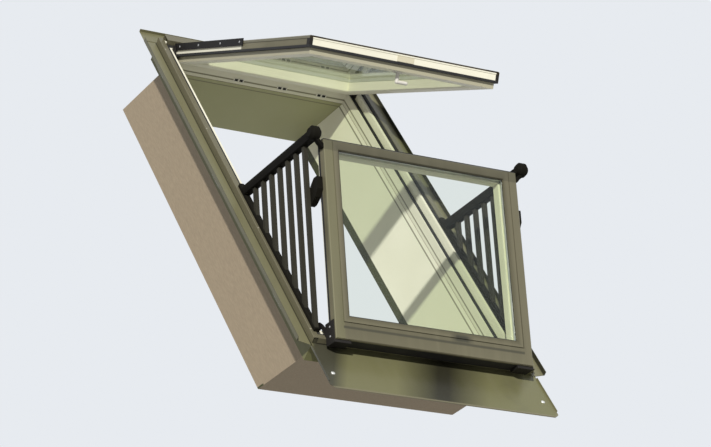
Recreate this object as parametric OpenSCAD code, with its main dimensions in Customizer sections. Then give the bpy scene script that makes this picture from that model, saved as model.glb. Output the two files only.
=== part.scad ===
// Roof balcony window, open: the upper sash is pushed out as a canopy and the lower sash stands
// upright as a balustrade, joined to the frame by two side railings.
// Millimetres. X runs along the eaves, -Y is outdoors, Z is up. The origin is the centre of the
// face of the sill bracket that lies on the roof batten.
// Roof coordinates below: v runs up the slope from the frame's lower end, w points out of the roof.

/* [Window] */
// outer width of the window frame
frame_width = 1140; // [780:10:1300]
// outer length of the window frame, up the roof slope
frame_length = 2550; // [2480:10:2680]
// slope of the roof in degrees
roof_pitch = 57; // [52:1:60]
// slope of the opened upper sash in degrees, falling outwards
canopy_slope = 23.5; // [14:0.5:34]

/* [Frame] */
// thickness of the side members
side_thickness = 50; // [44:1:60]
// height of the head member, up the slope
head_height = 80; // [70:1:100]
// height of the sill member, up the slope
sill_height = 70; // [60:1:90]
// depth of the frame below the batten plane
frame_below = 90; // [70:1:110]
// height of the frame above the batten plane
frame_above = 30; // [24:1:40]
// width of the inner stop that the sashes close on
stop_width = 14; // [10:1:18]
// depth from the frame's top to the stop
stop_drop = 50; // [46:1:56]
// visible strip of timber between the seal and the opening
timber_strip = 14; // [8:1:18]
// width of the black seal on the frame
frame_seal_width = 14; // [10:1:18]
// height of the black seal above the timber
frame_seal_height = 8; // [5:1:10]

/* [Metal covers] */
// thickness of the pressed metal covers
cover_sheet = 2.5; // [1.5:0.5:3.5]
// height of the frame covers above the timber
cover_rise = 10; // [8:1:16]
// height of the head cover above the timber
head_cover_rise = 34; // [24:1:44]
// how far the covers reach down the frame's outside
cover_skirt = 18; // [12:1:24]

/* [Sashes] */
// gap between the frame's side and the sash
sash_side_gap = 9; // [9:1:14]
// length of the upper sash
upper_length = 1480; // [1400:10:1520]
// height of the lower sash
lower_length = 960; // [900:10:1040]
// depth of the sash timber
sash_depth = 76; // [70:1:80]
// width of the sash stiles
stile_width = 80; // [74:1:90]
// width of the lower sash's top rail
slim_rail = 50; // [48:1:60]
// width of the upper sash's rails and of the lower sash's bottom rail
wide_rail = 118; // [110:1:135]
// how far the glass sits inside the timber
glass_bite = 18; // [14:1:22]
// thickness of the sealed glass unit
glass_thickness = 24; // [20:1:32]
// rounding of the timber's inner edges
timber_chamfer = 6; // [3:1:9]
// how far the metal cladding stands above the timber
clad_rise = 8; // [7:1:12]
// length of the cladding's skirt down the sash's side
clad_skirt = 6; // [4:1:12]
// how far the cladding stops short of the timber's inner edge
clad_setback = 6; // [4:1:8]
// width of the cladding's inner band, between its groove and the glass
clad_bead = 30; // [22:1:34]
// depth of the glass unit's face below the timber's front
glass_cover = 2; // [1:1:4]
// height of the ledge in the timber's side, above the sash's back
ledge_height = 40; // [34:1:46]
// how far the timber steps in below the ledge
ledge_width = 12; // [8:1:14]
// depth of the black seal under the ledge
sash_seal_depth = 12; // [8:1:16]
// height of the seal on the lower sash's top, where the two sashes meet
meeting_seal = 6; // [4:1:8]

/* [Opened positions] */
// distance of the canopy's hinge below the head member
hinge_drop = 8; // [4:1:14]
// height of the canopy's hinge above the batten plane
hinge_height = 50; // [46:1:60]
// gap between the upright sash's back and the sill's cover
sash_clearance = 1.5; // [1:0.5:12]
// how far the upright sash hangs below the frame's lower end
sash_hang = 6; // [0:1:16]

/* [Railings] */
// width of the handrail
handrail_width = 38; // [30:1:40]
// height of the handrail
handrail_height = 56; // [46:1:60]
// gap between the sash's side and the handrail
handrail_gap = 20; // [18:1:22]
// diameter of the knob on the handrail's front end
handrail_knob = 68; // [58:2:72]
// width of the balusters, across and along the handrail
baluster_size = 20; // [14:1:22]
// spacing of the balusters
baluster_spacing = 80; // [60:1:100]
// thickness of the railing's foot rail
foot_height = 18; // [14:1:26]
// how far the foot rail reaches past the balusters
foot_margin = 2; // [1:1:4]
// height of the plates that join the railing to the sash
latch_height = 115; // [90:5:140]
// how far these plates reach over the sash's side
latch_reach = 52; // [40:2:60]

/* [Flashing] */
// thickness of the flashing sheet
flashing_sheet = 2; // [1:0.5:2]
// length of the apron down the slope
apron_length = 320; // [250:5:400]
// how far the apron reaches past the frame at each side
apron_wing = 16; // [12:1:40]
// width of the side flashings
side_flashing_width = 75; // [70:5:100]
// height of the folded edges of the side flashings
side_fold = 20; // [12:1:30]
// length of the head flashing up the slope
head_flashing_length = 90; // [60:10:240]
// how far the side flashings lap over the apron
side_lap = 24; // [10:2:40]
// diameter of the rolled lower edge of the apron
hem = 8; // [6:1:10]

/* [Lining] */
// depth of the interior lining, square to the roof
lining_depth = 415; // [200:5:430]
// thickness of the lining boards
lining_board = 12; // [10:1:18]

/* [Fixings] */
// width of the brackets' flanges
bracket_flange = 70; // [50:5:80]
// thickness of the brackets
bracket_sheet = 3; // [2:0.5:3]
// depth of the brackets' legs along the frame
bracket_leg = 60; // [40:5:65]
// length of the sill bracket
sill_bracket_length = 700; // [400:10:720]
// length of each side bracket
side_bracket_length = 120; // [80:5:160]
// diameter of the screw holes
screw_hole = 9; // [6:1:12]
// thickness of the hinge plates
hinge_plate = 4; // [3:0.5:4]
// length of the handle's lever
handle_length = 50; // [40:5:120]
// diameter of the handle's grip
handle_grip = 18; // [14:1:22]

/* [Hidden] */
$fn = 48;
eps = 0.01;
left = -1;
right = 1;

half_frame = frame_width / 2;
half_inside = half_frame - side_thickness;
frame_foot = (bracket_flange + bracket_sheet) / 2;
pitch_run = cos(roof_pitch);
pitch_rise = sin(roof_pitch);
head_start = frame_length - head_height;
stop_top = frame_above - stop_drop;
stop_bevel = 3;
seal_start = side_thickness - timber_strip - frame_seal_width;
cover_top = frame_above + cover_rise;
cover_out = flashing_sheet + cover_sheet;
cover_bevel = 2;

sash_half = half_inside - sash_side_gap;
timber_half = sash_half - cover_sheet;
sash_top = sash_depth + clad_rise;
glass_base = sash_depth - glass_thickness - glass_cover;
clad_inset = stile_width - clad_setback;
clad_lip = 4;
clad_bevel = 4;
clad_groove = 5;
groove_depth = 4.5;
skirt_edge = sash_depth - clad_skirt;
seal_edge = 2;
seal_low = ledge_height - sash_seal_depth;
glass_top = glass_base + glass_thickness;

hinge_v = head_start - hinge_drop;
opening_angle = roof_pitch - canopy_slope;

// world Y and Z of a point given in roof coordinates
function slope_y(v, w) = (v + frame_foot) * pitch_run - w * pitch_rise;
function slope_z(v, w) = (v + frame_foot) * pitch_rise + w * pitch_run;

sash_back_y = slope_y(cover_bevel - cover_out, cover_top) - sash_clearance;
sash_face_y = sash_back_y - sash_top;
sash_foot_z = slope_z(0, 0) - sash_hang;
sash_head_z = sash_foot_z + lower_length;
handrail_base = sash_head_z;
handrail_top = handrail_base + handrail_height;
handrail_x = sash_half + handrail_gap + handrail_width / 2;
frame_seal_top = frame_above + frame_seal_height;
foot_top = cover_top + foot_height;
foot_start = 40;
first_baluster = sash_back_y + baluster_size / 2 + 15;
rail_bevel = 4;
latch_share = 0.7;
latch_plate = handrail_gap + handrail_width / 2 - baluster_size / 2;
foot_past = 30;
foot_end = (handrail_top - foot_top * pitch_run) / pitch_rise - frame_foot + foot_past;

// roof coordinates to world
module on_roof() {
  rotate([roof_pitch, 0, 0]) translate([0, frame_foot, 0]) children();
}

// a profile drawn in x and w, run up the slope from v0 to v1
module up_slope(v0, v1) {
  translate([0, v1, 0]) rotate([90, 0, 0]) linear_extrude(v1 - v0) children();
}

// a profile drawn in v and w, run across from x0 to x1
module across(x0, x1) {
  translate([x0, 0, 0]) rotate([90, 0, 90]) linear_extrude(x1 - x0) children();
}

// points measured inwards from the frame's outer side, placed on the left or right
function on_side(side, points) = [for (p = points) [side * (half_frame - p[0]), p[1]]];

// frame
module frame_side(side) {
  color("beige") on_roof() {
    up_slope(0, frame_length)
      polygon(on_side(side, [[0, -frame_below], [side_thickness, -frame_below],
        [side_thickness, frame_above], [0, frame_above]]));
    up_slope(sill_height, head_start)
      polygon(on_side(side, [[side_thickness - eps, -frame_below],
        [side_thickness + stop_width - stop_bevel, -frame_below],
        [side_thickness + stop_width, stop_bevel - frame_below],
        [side_thickness + stop_width, stop_top], [side_thickness - eps, stop_top]]));
  }
}
module frame_side_left() frame_side(left);
module frame_side_right() frame_side(right);

module frame_head() {
  color("beige") on_roof() across(-half_inside, half_inside)
    polygon([[head_start, -frame_below], [frame_length, -frame_below],
      [frame_length, frame_above], [head_start, frame_above]]);
  color("beige") on_roof() across(stop_width - half_inside, half_inside - stop_width)
    polygon([[head_start - stop_width, stop_bevel - frame_below],
      [head_start - stop_width + stop_bevel, -frame_below],
      [head_start + eps, -frame_below], [head_start + eps, stop_top],
      [head_start - stop_width, stop_top]]);
}

module frame_sill() {
  color("beige") on_roof() across(-half_inside, half_inside)
    polygon([[0, -frame_below], [sill_height, -frame_below],
      [sill_height, frame_above], [0, frame_above]]);
  color("beige") on_roof() across(stop_width - half_inside, half_inside - stop_width)
    polygon([[sill_height - eps, -frame_below], [sill_height + stop_width - stop_bevel, -frame_below],
      [sill_height + stop_width, stop_bevel - frame_below], [sill_height + stop_width, stop_top],
      [sill_height - eps, stop_top]]);
}

// a folded cover: an outer leg, a flat top and an inner leg that stands on the timber
function cover_points(top, reach, sheet) = [
  [-cover_out, frame_above - cover_skirt], [-cover_out, top - cover_bevel],
  [cover_bevel - cover_out, top],
  [reach, top], [reach, frame_above], [reach - sheet, frame_above],
  [reach - sheet, top - sheet], [-flashing_sheet, top - sheet],
  [-flashing_sheet, frame_above - cover_skirt]
];

module frame_cover_side(side) {
  color("darkolivegreen") on_roof() up_slope(-cover_out, frame_length + cover_out)
    polygon(on_side(side, cover_points(cover_top, seal_start, cover_sheet)));
}
module frame_cover_left() frame_cover_side(left);
module frame_cover_right() frame_cover_side(right);

module frame_cover_sill() {
  half = half_frame - seal_start;
  color("darkolivegreen") on_roof() across(-half, half)
    polygon(cover_points(cover_top, seal_start, cover_sheet));
}

module frame_cover_head() {
  half = half_frame - seal_start;
  color("darkolivegreen") on_roof() across(-half, half)
    polygon([for (p = cover_points(frame_above + head_cover_rise, head_height - timber_strip
      - frame_seal_width, cover_sheet)) [frame_length - p[0], p[1]]]);
}

module frame_seal() {
  inner = seal_start + frame_seal_width;
  head_inner = head_start + timber_strip;
  top = frame_seal_top;
  profile = [[seal_start, frame_above], [seal_start, top - seal_edge], [seal_start + seal_edge, top],
    [inner - 2 * seal_edge, top], [inner, top - 2 * seal_edge], [inner, frame_above]];
  color("black") on_roof() {
    for (side = [left, right])
      up_slope(seal_start, head_inner + frame_seal_width) polygon(on_side(side, profile));
    across(seal_start - half_frame, half_frame - seal_start) polygon(profile);
    across(seal_start - half_frame, half_frame - seal_start)
      polygon([for (p = profile) [head_inner + inner - p[0], p[1]]]);
  }
}

// sashes: x across, y from 0 at the lower end to the sash's length, z out from the timber's back
module place_upper() {
  on_roof() translate([0, hinge_v, hinge_height]) rotate([-opening_angle, 0, 0])
    translate([0, -upper_length, -sash_depth]) children();
}
module place_lower() {
  translate([0, sash_back_y, sash_foot_z]) rotate([90, 0, 0]) children();
}

// a timber member's section: inwards from the sash's edge, out from its back, rebated for the glass
function timber_points(width) = [
  [ledge_width, 0], [width - timber_chamfer, 0], [width, timber_chamfer], [width, glass_base],
  [width - glass_bite, glass_base], [width - glass_bite, sash_depth], [0, sash_depth],
  [0, ledge_height], [ledge_width, ledge_height]
];

module sash_stile(side, long) {
  color("beige") difference() {
    up_slope(0, long)
      polygon([for (p = timber_points(stile_width)) [side * (timber_half - p[0]), p[1]]]);
    for (y = [-1, long - ledge_width]) translate([-frame_width, y, -1])
      cube([2 * frame_width, ledge_width + 1, ledge_height + 1]);
  }
}

// a rail at the sash's lower end or, when far is true, at its upper end
module sash_rail(width, long, far) {
  half = timber_half - stile_width;
  step = half + glass_bite;
  color("beige") {
    across(-half, half)
      polygon([for (p = timber_points(width)) [far ? long - p[0] : p[0], p[1]]]);
    for (side = [left, right]) intersection() {
      across(-step, step)
        polygon([for (p = timber_points(width)) [far ? long - p[0] : p[0], p[1]]]);
      translate([side * (half + glass_bite / 2), long / 2, (glass_base + sash_top) / 2])
        cube([glass_bite, long + 1, sash_top - glass_base], center = true);
    }
  }
}

// cladding sections: a skirt with a raised top, and the lip that stands on the glass
function clad_points(inset) = [
  [-cover_sheet, skirt_edge], [-cover_sheet, sash_top - clad_bevel],
  [clad_bevel - cover_sheet, sash_top], [inset - clad_lip, sash_top],
  [inset - clad_lip, sash_top - cover_sheet], [clad_bevel - 1, sash_top - cover_sheet],
  [0, sash_top - clad_bevel - 1], [0, skirt_edge]
];
function lip_points(inset) = [
  [inset - clad_lip - 1, sash_top], [inset - clad_lip, sash_top], [inset, glass_top + cover_sheet],
  [inset, glass_top], [inset - cover_sheet, glass_top], [inset - clad_lip - 1, sash_top - cover_sheet]
];

// a rectangular ring between z = base and z = top
module flat_ring(half, low, high, width, base, top) {
  difference() {
    translate([-half, low, base]) cube([2 * half, high - low, top - base]);
    translate([width - half, low + width, base - 1])
      cube([2 * (half - width), high - low - 2 * width, top - base + 2]);
  }
}

// the folded cladding of a sash with a groove round its inner band; groove_end is how far up the
// sash the groove runs
module sash_cladding(long, low_width, high_width, groove_end) {
  low = low_width - clad_setback;
  high = high_width - clad_setback;
  half = timber_half - clad_inset + clad_lip;
  inner = timber_half - clad_inset + clad_bead;
  color("darkolivegreen") difference() {
    union() {
      for (side = [left, right]) {
        up_slope(0, long)
          polygon([for (p = clad_points(clad_inset)) [side * (timber_half - p[0]), p[1]]]);
        up_slope(low - clad_lip, long - high + clad_lip)
          polygon([for (p = lip_points(clad_inset)) [side * (timber_half - p[0]), p[1]]]);
        translate([side * (inner + clad_groove / 2), long / 2, (sash_depth + sash_top) / 2])
          cube([clad_groove + 2 * cover_sheet, long, clad_rise], center = true);
      }
      across(-half, half) {
        polygon(clad_points(low));
        polygon(lip_points(low));
        polygon([for (p = clad_points(high)) [long - p[0], p[1]]]);
        polygon([for (p = lip_points(high)) [long - p[0], p[1]]]);
      }
      for (y = [low - clad_bead, groove_end]) if (y < long)
        translate([-inner, y - clad_groove - cover_sheet, sash_depth])
          cube([2 * inner, clad_groove + 2 * cover_sheet, clad_rise]);
      for (y = [-cover_sheet, long]) translate([-sash_half, y, skirt_edge])
        cube([2 * sash_half, cover_sheet, clad_rise - clad_bevel + clad_skirt]);
    }
    flat_ring(inner + clad_groove, low - clad_bead - clad_groove, groove_end, clad_groove,
      sash_top - groove_depth, sash_top + 1);
  }
}

// a seal that runs round the sash under the ledge
module sash_seal(long) {
  color("black")
    flat_ring(sash_half, -cover_sheet, long + cover_sheet, cover_sheet + ledge_width,
      seal_low, ledge_height);
}

// the lower sash's seal also closes its underside, and has a strip along its top
module meeting_seals(long) {
  color("black") {
    translate([-sash_half, -cover_sheet, seal_low])
      cube([2 * sash_half, cover_sheet, skirt_edge - seal_low]);
    translate([-timber_half, -cover_sheet, seal_edge])
      cube([2 * timber_half, cover_sheet + ledge_width, seal_low - seal_edge]);
    translate([-timber_half, long, seal_low])
      cube([2 * timber_half, cover_sheet + meeting_seal, skirt_edge - seal_low]);
    translate([-timber_half, long + cover_sheet, seal_low])
      cube([2 * timber_half, meeting_seal, sash_depth - seal_low]);
  }
}

module sash_glass(long, low_width, high_width) {
  half = timber_half - stile_width + glass_bite - 1;
  low = low_width - glass_bite + 1;
  high = high_width - glass_bite + 1;
  color("lightblue", 0.4) translate([-half, low, glass_base])
    cube([2 * half, long - low - high, glass_thickness]);
}

module upper_stile_left() place_upper() sash_stile(left, upper_length);
module upper_stile_right() place_upper() sash_stile(right, upper_length);
module upper_rail_top() place_upper() sash_rail(wide_rail, upper_length, true);
module upper_rail_front() place_upper() sash_rail(wide_rail, upper_length, false);
module upper_cladding() place_upper() sash_cladding(upper_length, wide_rail, wide_rail,
  upper_length - wide_rail + clad_setback + clad_bead + clad_groove);
module upper_seal() place_upper() sash_seal(upper_length);
module upper_glass() place_upper() sash_glass(upper_length, wide_rail, wide_rail);
module lower_stile_left() place_lower() sash_stile(left, lower_length);
module lower_stile_right() place_lower() sash_stile(right, lower_length);
module lower_rail_top() place_lower() sash_rail(slim_rail, lower_length, true);
module lower_rail_bottom() place_lower() sash_rail(wide_rail, lower_length, false);
module lower_cladding() place_lower() sash_cladding(lower_length, wide_rail, slim_rail,
  lower_length + 2 * clad_groove);
module lower_seal() place_lower() {
  sash_seal(lower_length);
  meeting_seals(lower_length);
}
module lower_glass() place_lower() sash_glass(lower_length, wide_rail, slim_rail);

// lever handle under the front rail's middle
module upper_handle() {
  reach = 48;
  base = 44;
  rose = 6;
  color("dimgray") place_upper() translate([0, wide_rail / 2, 0]) {
    translate([0, 0, -rose]) cylinder(d = base, h = rose);
    translate([0, 0, -reach]) cylinder(d = handle_grip, h = reach - rose);
    translate([0, 0, -reach]) rotate([0, 90, 0]) cylinder(d = handle_grip, h = handle_length);
    translate([0, 0, -reach]) sphere(d = handle_grip);
    translate([handle_length, 0, -reach]) sphere(d = handle_grip);
  }
}

// caps on the canopy's two front corners, between the seal and the cladding
module upper_corner_caps() {
  back = 26;
  across_front = 14;
  tall = skirt_edge - ledge_height;
  color("black") place_upper() for (side = [left, right]) {
    translate([side * (timber_half + cover_sheet / 2), (back - cover_sheet) / 2,
      ledge_height + tall / 2]) cube([cover_sheet, back + cover_sheet, tall], center = true);
    translate([side * (sash_half - (across_front + cover_sheet) / 2), -cover_sheet / 2,
      ledge_height + tall / 2]) cube([across_front + cover_sheet, cover_sheet, tall], center = true);
  }
}

// plate of the lock in the middle of the canopy's front edge
module upper_lock_plate() {
  wide = 90;
  thick = 2;
  margin = 2;
  tall = skirt_edge - ledge_height - 2 * margin;
  color("tan") place_upper() translate([0, -thick / 2, ledge_height + margin + tall / 2])
    cube([wide, thick, tall], center = true);
}

// a long bar on the sash's side, pinned to a plate on the frame's inner side
module upper_hinge(side) {
  bar = 36;
  bar_rise = 10;
  bar_length = 780;
  plate_length = 90;
  tab = 30;
  pin = 14;
  low = stop_top + hinge_plate;
  high = hinge_height + 6;
  step = frame_above - 2;
  color("black") {
    place_upper() translate([side * (sash_half + hinge_plate / 2), upper_length - bar_length / 2,
      sash_top + bar_rise - bar / 2]) cube([hinge_plate, bar_length, bar], center = true);
    on_roof() {
      translate([side * (half_inside - hinge_plate / 2), 0, 0]) rotate([90, 0, 90])
        linear_extrude(hinge_plate, center = true)
          polygon([[head_start - plate_length, low], [head_start, low], [head_start, high],
            [head_start - tab, high], [head_start - 2 * tab, step],
            [head_start - plate_length, step]]);
      translate([side * (sash_half + sash_side_gap / 2), hinge_v - pin / 2, hinge_height - 2])
        rotate([0, 90, 0]) cylinder(d = pin, h = sash_side_gap, center = true);
    }
  }
}
module upper_hinge_left() upper_hinge(left);
module upper_hinge_right() upper_hinge(right);

// a plate beside the sash's foot with an arm that passes over the sill's cover and is pinned to
// the frame's side, and a black shoe under the stile
module lower_hinge(side) {
  shoe = 14;
  shoe_inset = 10;
  plate_height = 90;
  plate_x = sash_half + hinge_plate / 2;
  over = cover_top + sash_clearance;
  arm = 34;
  under = stop_top + 5;
  bend = sill_height + 2;
  pin = 20;
  pin_v = bend + 30;
  tail_v = pin_v + 25;
  color("black") {
    translate([side * plate_x, 0, 0]) rotate([90, 0, 90])
      linear_extrude(hinge_plate, center = true)
        polygon([[sash_face_y + shoe_inset, sash_foot_z - shoe], [sash_back_y, sash_foot_z - shoe],
          [sash_back_y, sash_foot_z + plate_height],
          [sash_face_y + shoe_inset, sash_foot_z + plate_height]]);
    on_roof() translate([side * plate_x, 0, 0]) rotate([90, 0, 90])
      linear_extrude(hinge_plate, center = true)
        polygon([[-shoe_inset, over], [bend, over], [bend, under], [tail_v, under],
          [tail_v, frame_above], [pin_v, over + 0.3 * arm], [bend, over + 0.6 * arm],
          [-shoe_inset, over + arm]]);
    on_roof() translate([side * (sash_half + sash_side_gap / 2), pin_v, under + pin])
      rotate([0, 90, 0]) cylinder(d = pin, h = sash_side_gap, center = true);
    translate([side * (sash_half + hinge_plate / 2 - stile_width / 2),
      (sash_face_y + sash_back_y) / 2, sash_foot_z - cover_sheet - shoe / 2])
      cube([stile_width + hinge_plate, sash_top - 2 * shoe_inset, shoe], center = true);
  }
}
module lower_hinge_left() lower_hinge(left);
module lower_hinge_right() lower_hinge(right);

// railings
module below_foot_top() {
  on_roof() translate([-frame_width, -frame_width, foot_top - frame_width])
    cube([2 * frame_width, frame_width + frame_length, frame_width]);
}

// a level rail with a round top, a knob on its front end and a bracket down to the sash's corner
module handrail(side) {
  half = handrail_width / 2;
  nose = handrail_height / 2;
  front = sash_face_y + 2;
  back = slope_y(foot_end, foot_top);
  knob = handrail_knob / 2;
  knob_half = half + 9;
  knob_bevel = 14;
  bracket = 24;
  tail = 42;
  lug = 8;
  color("black") {
    difference() {
      intersection() {
        translate([side * handrail_x, back, handrail_base]) rotate([90, 0, 0])
          linear_extrude(back - front) union() {
            translate([0, handrail_height - half]) circle(r = half);
            polygon([[-half, rail_bevel], [rail_bevel - half, 0], [half - rail_bevel, 0],
              [half, rail_bevel], [half, handrail_height - half], [-half, handrail_height - half]]);
          }
        union() {
          translate([side * handrail_x, front + nose, handrail_base + nose]) rotate([0, 90, 0])
            cylinder(r = nose, h = handrail_width + 2, center = true);
          translate([side * handrail_x - half - 1, front + nose, handrail_base - 1])
            cube([handrail_width + 2, back - front, handrail_height + 2]);
        }
      }
      below_foot_top();
    }
    translate([side * handrail_x, front + bracket / 2, handrail_base + nose]) rotate([0, 90, 0])
      rotate_extrude() polygon([[0, -knob_half], [knob - knob_bevel, -knob_half],
        [knob, knob_bevel - knob_half], [knob, knob_half - knob_bevel],
        [knob - knob_bevel, knob_half], [0, knob_half]]);
    translate([0, front + bracket, handrail_base]) rotate([90, 0, 0]) linear_extrude(bracket)
      polygon([for (p = [[sash_half, -tail], [sash_half + lug, -tail], [handrail_x + lug, lug],
        [handrail_x - lug, lug], [sash_half, lug - nose]]) [side * p[0], p[1]]]);
  }
}
module handrail_left() handrail(left);
module handrail_right() handrail(right);

module foot_rail(side) {
  inner = half_inside + timber_strip;
  step = half_frame - seal_start;
  outer = handrail_x + baluster_size / 2 + foot_margin;
  color("black") on_roof() up_slope(foot_start, foot_end)
    polygon([for (p = [[inner, frame_seal_top], [step, frame_seal_top], [step, cover_top],
      [outer, cover_top], [outer, foot_top - rail_bevel], [outer - rail_bevel, foot_top],
      [inner + rail_bevel, foot_top], [inner, foot_top - rail_bevel]]) [side * p[0], p[1]]]);
}
module foot_rail_left() foot_rail(left);
module foot_rail_right() foot_rail(right);

module balusters(side) {
  end_space = 110;
  last = slope_y(foot_end, foot_top) - end_space;
  count = floor((last - first_baluster) / baluster_spacing);
  color("dimgray") difference() {
    for (i = [0 : count])
      translate([side * handrail_x - baluster_size / 2,
        first_baluster + i * baluster_spacing - baluster_size / 2, 0])
        cube([baluster_size, baluster_size, handrail_base]);
    below_foot_top();
  }
}
module balusters_left() balusters(left);
module balusters_right() balusters(right);

// slanted plates that hold the front balusters to the sash's sides
module railing_latches() {
  low = sash_foot_z + latch_share * lower_length;
  high = low + latch_height;
  front = sash_back_y - latch_reach;
  back = first_baluster + baluster_size / 2;
  nose = 22;
  slant = 30;
  color("black") for (side = [left, right])
    translate([side * (sash_half + latch_plate / 2), 0, 0]) rotate([90, 0, 90])
      linear_extrude(latch_plate, center = true)
        polygon([[front, high - 2 * slant], [front + nose, low + nose], [back - nose, low],
          [back, low], [back, high - nose - slant], [back - slant, high - nose],
          [front + slant, high], [front, high]]);
}

// flashing
apron_w = 4;
side_w = apron_w + flashing_sheet;
head_w = side_w + flashing_sheet;
apron_cut = 22;
apron_fold = 10;
head_fold = 16;
side_cut = 20;

module flashing_apron() {
  wide = half_frame + apron_wing;
  color("olive") on_roof() {
    difference() {
      translate([-wide, -apron_length, apron_w]) cube([2 * wide, apron_length, flashing_sheet]);
      for (side = [left, right])
        translate([side * wide, -apron_length, 0]) rotate([0, 0, 45])
          cube([apron_cut, apron_cut, apron_cut], center = true);
    }
    for (side = [left, right])
      translate([side * (wide - flashing_sheet / 2), -apron_length / 2, apron_w + apron_fold / 2])
        cube([flashing_sheet, apron_length - 2 * side_lap - apron_cut, apron_fold], center = true);
    across(apron_cut - wide, wide - apron_cut)
      translate([-apron_length, apron_w + 2 * flashing_sheet - hem / 2]) circle(d = hem);
    across(-half_frame, half_frame)
      polygon([[-flashing_sheet, apron_w], [0, apron_w], [0, frame_above],
        [-flashing_sheet, frame_above]]);
  }
}

module flashing_side(side) {
  color("olive") on_roof() {
    difference() {
      up_slope(-side_lap, frame_length)
        polygon(on_side(side, [[0, side_w], [-side_flashing_width, side_w],
          [-side_flashing_width, side_w + side_fold],
          [flashing_sheet - side_flashing_width, side_w + side_fold],
          [flashing_sheet - side_flashing_width, head_w], [0, head_w]]));
      translate([side * half_frame, -side_lap, 0]) rotate([0, 0, side * side_cut])
        translate([0, -side_flashing_width, 0])
          cube([6 * side_flashing_width, 2 * side_flashing_width, 2 * side_flashing_width],
            center = true);
    }
    up_slope(0, frame_length)
      polygon(on_side(side, [[-flashing_sheet, side_w], [0, side_w], [0, frame_above],
        [-flashing_sheet, frame_above]]));
  }
}
module flashing_side_left() flashing_side(left);
module flashing_side_right() flashing_side(right);

module flashing_head() {
  wide = half_frame + side_flashing_width;
  end = frame_length + head_flashing_length;
  color("olive") on_roof() {
    across(-wide, wide)
      polygon([[frame_length, head_w], [end, head_w], [end, head_w + head_fold],
        [end - flashing_sheet, head_w + head_fold], [end - flashing_sheet, head_w + flashing_sheet],
        [frame_length, head_w + flashing_sheet]]);
    across(-half_frame, half_frame)
      polygon([[frame_length, head_w], [frame_length + flashing_sheet, head_w],
        [frame_length + flashing_sheet, frame_above], [frame_length, frame_above]]);
  }
}

// interior lining: level boards at head and sill, sides cut to match
lining_run = lining_depth * pitch_run / pitch_rise;
lining_low = sill_height + stop_width;
lining_high = head_start - stop_width;
lining_half = half_inside - stop_width;

module lining_side(side) {
  inner = side * lining_half;
  outer = side * (lining_half + lining_board);
  color("ivory") on_roof() across(min(inner, outer), max(inner, outer))
    polygon([[lining_low, -frame_below], [lining_high, -frame_below],
      [lining_high + lining_run, -frame_below - lining_depth],
      [lining_low + lining_run, -frame_below - lining_depth]]);
}
module lining_left() lining_side(left);
module lining_right() lining_side(right);

module lining_level(v, outward) {
  far = v + outward * lining_board;
  half = lining_half + lining_board;
  color("ivory") on_roof() across(-half, half)
    polygon([[v, -frame_below], [far, -frame_below],
      [far + lining_run, -frame_below - lining_depth], [v + lining_run, -frame_below - lining_depth]]);
}
module lining_head() lining_level(lining_high, 1);
module lining_sill() lining_level(lining_low, -1);

// brackets on the battens
module angle_bracket(long, holes) {
  difference() {
    translate([-long / 2, 0, 0]) rotate([90, 0, 90]) linear_extrude(long)
      polygon([[0, -bracket_leg], [0, bracket_sheet], [-bracket_flange, bracket_sheet],
        [-bracket_flange, 0], [-bracket_sheet, 0], [-bracket_sheet, -bracket_leg]]);
    for (i = [0 : holes - 1])
      translate([long * ((i + 0.5) / holes - 0.5), -bracket_flange * 0.55, -1])
        cylinder(d = screw_hole, h = bracket_sheet + 2);
  }
}

module bracket_sill() {
  color("silver") on_roof() angle_bracket(sill_bracket_length, 5);
}

module brackets_side() {
  color("silver") on_roof() for (side = [left, right])
    for (share = [0.12, 0.5, 0.88])
      translate([side * half_frame, frame_length * share, 0]) rotate([0, 0, side * 90])
        angle_bracket(side_bracket_length, 3);
}

frame_side_left();
frame_side_right();
frame_head();
frame_sill();
frame_cover_left();
frame_cover_right();
frame_cover_head();
frame_cover_sill();
frame_seal();
upper_stile_left();
upper_stile_right();
upper_rail_top();
upper_rail_front();
upper_cladding();
upper_seal();
upper_glass();
upper_handle();
upper_corner_caps();
upper_lock_plate();
upper_hinge_left();
upper_hinge_right();
lower_stile_left();
lower_stile_right();
lower_rail_top();
lower_rail_bottom();
lower_cladding();
lower_seal();
lower_glass();
lower_hinge_left();
lower_hinge_right();
handrail_left();
handrail_right();
balusters_left();
balusters_right();
foot_rail_left();
foot_rail_right();
railing_latches();
flashing_apron();
flashing_side_left();
flashing_side_right();
flashing_head();
lining_left();
lining_right();
lining_head();
lining_sill();
bracket_sill();
brackets_side();
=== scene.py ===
"""Looks of the roof balcony window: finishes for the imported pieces, and small fittings."""

import math

import bmesh
import bpy
from bpy.props import FloatProperty, FloatVectorProperty, PointerProperty
from mathutils import Matrix, Quaternion, Vector


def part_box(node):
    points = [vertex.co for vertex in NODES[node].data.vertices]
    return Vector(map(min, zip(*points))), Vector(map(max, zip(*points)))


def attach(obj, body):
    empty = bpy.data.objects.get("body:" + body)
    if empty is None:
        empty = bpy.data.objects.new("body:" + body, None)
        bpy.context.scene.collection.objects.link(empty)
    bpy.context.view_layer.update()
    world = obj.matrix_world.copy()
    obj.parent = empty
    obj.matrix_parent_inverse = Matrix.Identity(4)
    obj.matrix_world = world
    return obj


bl_info = {
    "name": "Roof balcony window finishes",
    "version": (1, 0, 0),
    "blender": (4, 5, 0),
    "location": "3D View > Sidebar > Window",
    "description": "Paint, metal, glass and small fittings for an open roof balcony window",
    "category": "Object",
}

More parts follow.
